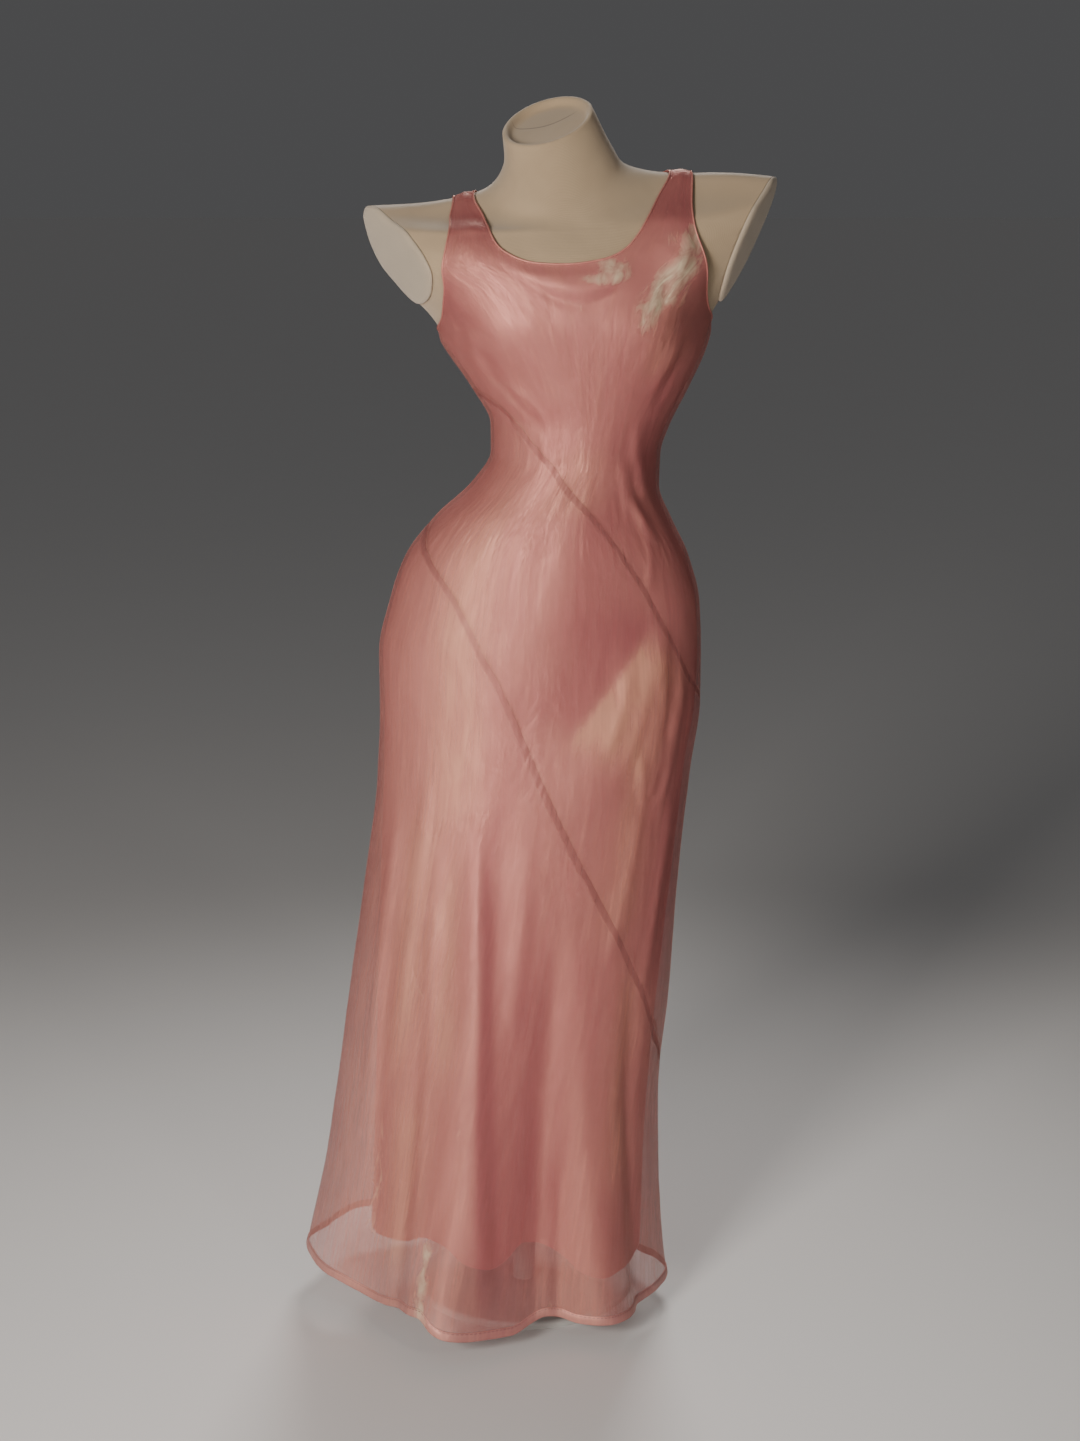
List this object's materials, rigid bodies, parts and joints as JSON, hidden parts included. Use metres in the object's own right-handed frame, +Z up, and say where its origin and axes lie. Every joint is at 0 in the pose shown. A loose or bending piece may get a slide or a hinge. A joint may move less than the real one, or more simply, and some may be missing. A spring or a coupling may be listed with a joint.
{
  "type": "mermaid dress on a dress form",
  "caption": "Sleeveless mermaid dress, a sheer layer over satin with slanted seams and a fluted flaring hem, worn by a limbless dress form on a pole and round base.",
  "frame": {"origin": "on the floor, at the centre of the round base's underside, under the pole", "axes": "+Z up, the front of the dress faces -Y, +X to the right of someone who faces the dress"},
  "size_m": [0.5053, 0.3901, 1.3037],
  "materials": {
    "shot_organza": "sheer shot organza, pink with a champagne glint",
    "turned_organza": "organza turned under and pressed",
    "pink_satin": "soft satin",
    "cream_jersey": "matt stretched jersey",
    "cream_jersey_plates": "matt stretched jersey",
    "white_stand_paint": "satin powder coat"
  },
  "bodies": {
    "root": {"outer_skirt_front": "shot_organza", "outer_skirt_back": "shot_organza", "outer_waist_front": "shot_organza", "outer_waist_back": "shot_organza", "outer_bodice_front": "shot_organza", "outer_bodice_back": "shot_organza", "hem_fold": "turned_organza", "lining_front": "pink_satin", "lining_back": "pink_satin", "form_torso": "cream_jersey", "form_arm_plate_left": "cream_jersey_plates", "form_arm_plate_right": "cream_jersey_plates", "stand_collar": "white_stand_paint", "stand_pole": "white_stand_paint", "stand_base": "white_stand_paint"}
  },
  "joints": []
}
